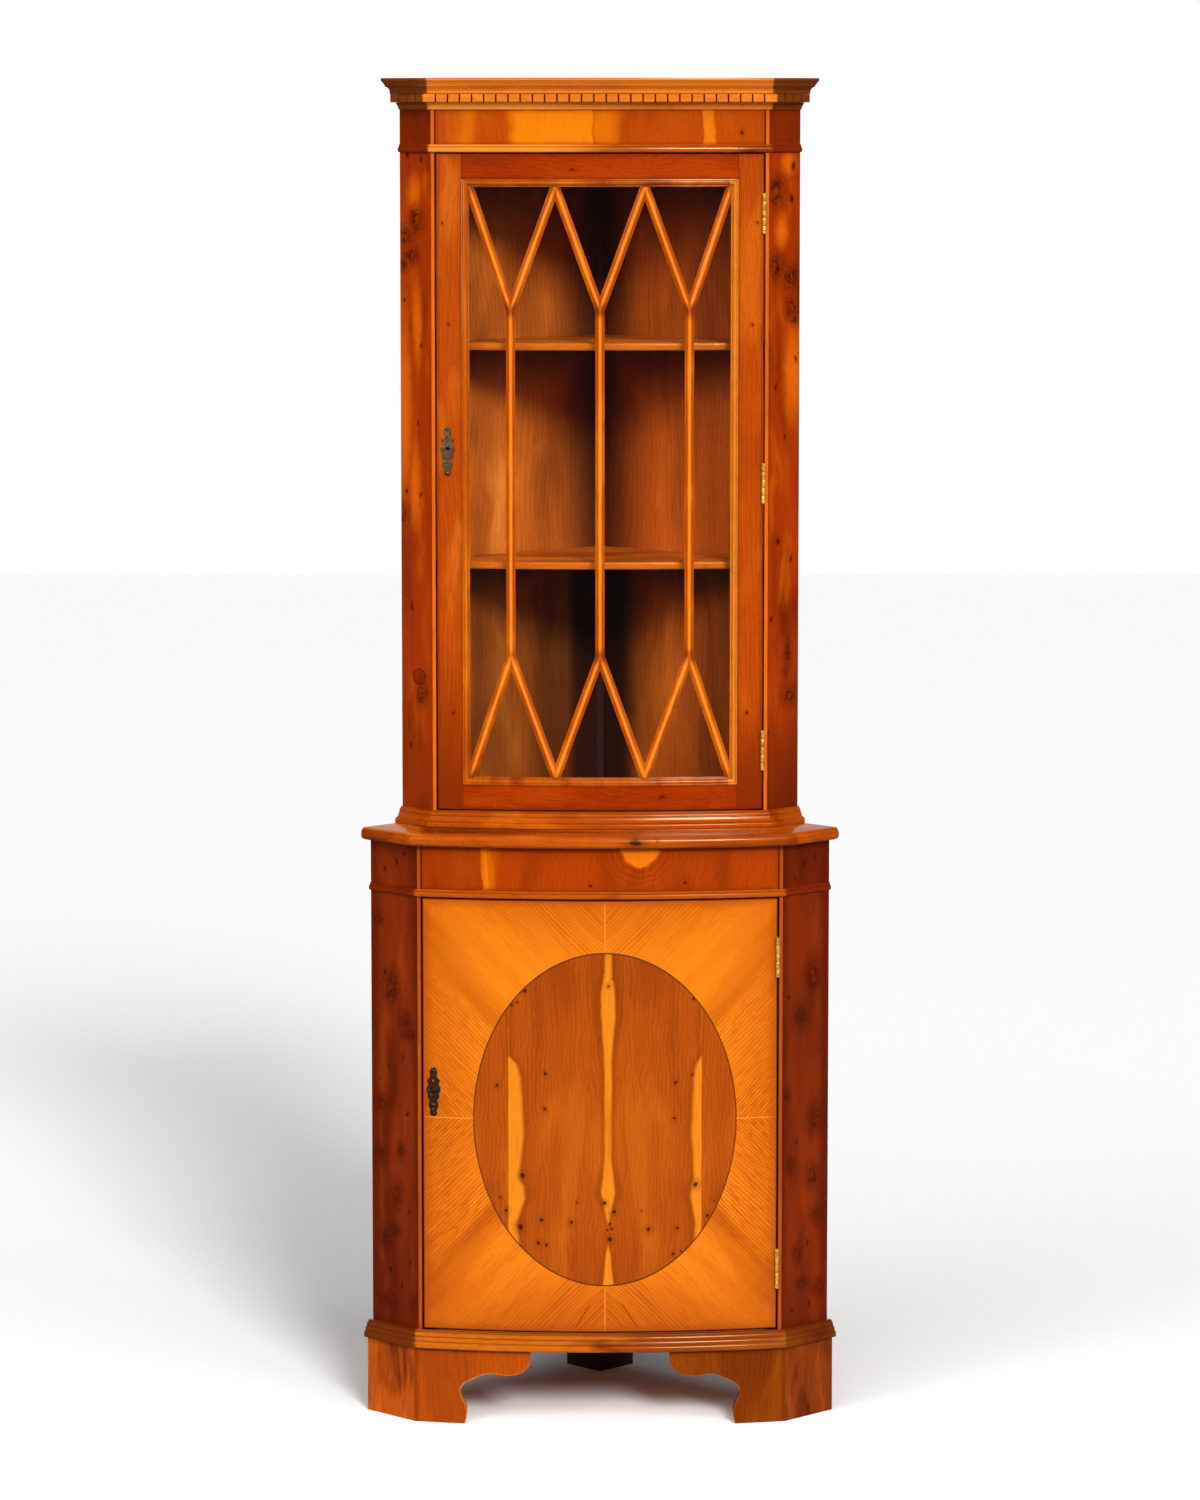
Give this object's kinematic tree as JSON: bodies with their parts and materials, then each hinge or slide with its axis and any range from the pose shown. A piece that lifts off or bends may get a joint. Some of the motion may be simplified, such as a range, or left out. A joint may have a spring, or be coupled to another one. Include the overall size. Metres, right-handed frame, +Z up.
{
  "type": "corner cupboard",
  "caption": "Bow-fronted corner cupboard in yew veneer: a glazed upper stage with shelves on a base with a bowed, oval-inlaid door and bracket feet.",
  "frame": {"origin": "On the floor, under the middle of the cupboard's outline in plan.", "axes": "+Z is up. +X runs along the front to the right as the cupboard is faced. +Y runs back into the corner of the room, so the doors face -Y."},
  "size_m": [0.6794, 0.443, 1.904],
  "materials": {
    "yew_veneer": "glossy lacquered yew veneer, orange brown with darkened edges",
    "yew_dark": "glossy lacquered burr yew, dark red brown",
    "yew_moulding": "glossy lacquered solid yew",
    "yew_crossbanded": "glossy lacquered quartered yew veneer, bright orange",
    "interior_veneer": "satin stained veneer",
    "glass": "clear bowed glass",
    "brass": "satin brass",
    "aged_brass": "darkened cast brass",
    "lock_steel": "plain steel"
  },
  "bodies": {
    "root": {"left_bracket_foot": "yew_veneer", "right_bracket_foot": "yew_veneer", "left_plinth_return": "yew_veneer", "right_plinth_return": "yew_veneer", "rear_foot": "interior_veneer", "plinth_moulding": "yew_moulding", "base_left_stile": "yew_dark", "base_right_stile": "yew_dark", "base_left_back_panel": "interior_veneer", "base_right_back_panel": "interior_veneer", "base_bottom_board": "interior_veneer", "base_shelf": "interior_veneer", "base_frieze": "yew_veneer", "base_frieze_moulding": "yew_dark", "waist_board": "yew_veneer", "base_hinge_1_fixed_leaf": "brass", "base_hinge_2_fixed_leaf": "brass", "upper_left_stile": "yew_dark", "upper_right_stile": "yew_dark", "upper_left_back_panel": "interior_veneer", "upper_right_back_panel": "interior_veneer", "rear_corner_batten": "interior_veneer", "upper_bottom_board": "interior_veneer", "upper_top_board": "interior_veneer", "lower_shelf": "interior_veneer", "upper_shelf": "interior_veneer", "upper_frieze": "yew_veneer", "upper_frieze_moulding": "yew_dark", "upper_foot_moulding": "yew_moulding", "bed_moulding": "yew_moulding", "dentil_course": "yew_moulding", "cornice_moulding": "yew_moulding", "upper_hinge_1_fixed_leaf": "brass", "upper_hinge_2_fixed_leaf": "brass", "upper_hinge_3_fixed_leaf": "brass"},
    "base_door": {"base_door_panel": "yew_crossbanded", "base_escutcheon": "aged_brass", "base_lock_case": "lock_steel", "base_hinge_1_door_leaf": "brass", "base_hinge_2_door_leaf": "brass"},
    "base_key": {"base_key": "aged_brass"},
    "base_bolt": {"base_lock_bolt": "brass"},
    "upper_door": {"upper_door_left_stile": "yew_veneer", "upper_door_right_stile": "yew_veneer", "upper_door_bottom_rail": "yew_veneer", "upper_door_top_rail": "yew_veneer", "sight_moulding": "yew_moulding", "door_glass": "glass", "glazing_bead": "yew_moulding", "glazing_bars": "yew_moulding", "upper_escutcheon": "aged_brass", "upper_lock_case": "lock_steel", "upper_hinge_1_door_leaf": "brass", "upper_hinge_2_door_leaf": "brass", "upper_hinge_3_door_leaf": "brass"},
    "upper_bolt": {"upper_lock_bolt": "brass"}
  },
  "joints": [
    {"name": "upper_door_hinge", "type": "hinge", "parent": "root", "child": "upper_door", "pos_m": [0.23075, -0.11122, 1.33555], "axis": [0, 0, 1], "range_deg": [0, 110]},
    {"name": "base_door_hinge", "type": "hinge", "parent": "root", "child": "base_door", "pos_m": [0.25175, -0.17837, 0.444], "axis": [0, 0, 1], "range_deg": [0, 110]},
    {"name": "upper_bolt_slide", "type": "slide", "parent": "upper_door", "child": "upper_bolt", "axis": [-1, 0, 0], "range_m": [0, 0.008]},
    {"name": "base_key_turn", "type": "hinge", "parent": "base_door", "child": "base_key", "pos_m": [-0.236, -0.17835, 0.48], "axis": [-0.207, -0.9783, 0], "range_deg": [0, 180]},
    {"name": "base_bolt_slide", "type": "slide", "parent": "base_door", "child": "base_bolt", "axis": [-1, 0, 0], "range_m": [0, 0.008]}
  ],
  "couplings": [
    {"joint": "base_bolt_slide", "follows": "base_key_turn", "m_per_rad": 0.002546}
  ]
}
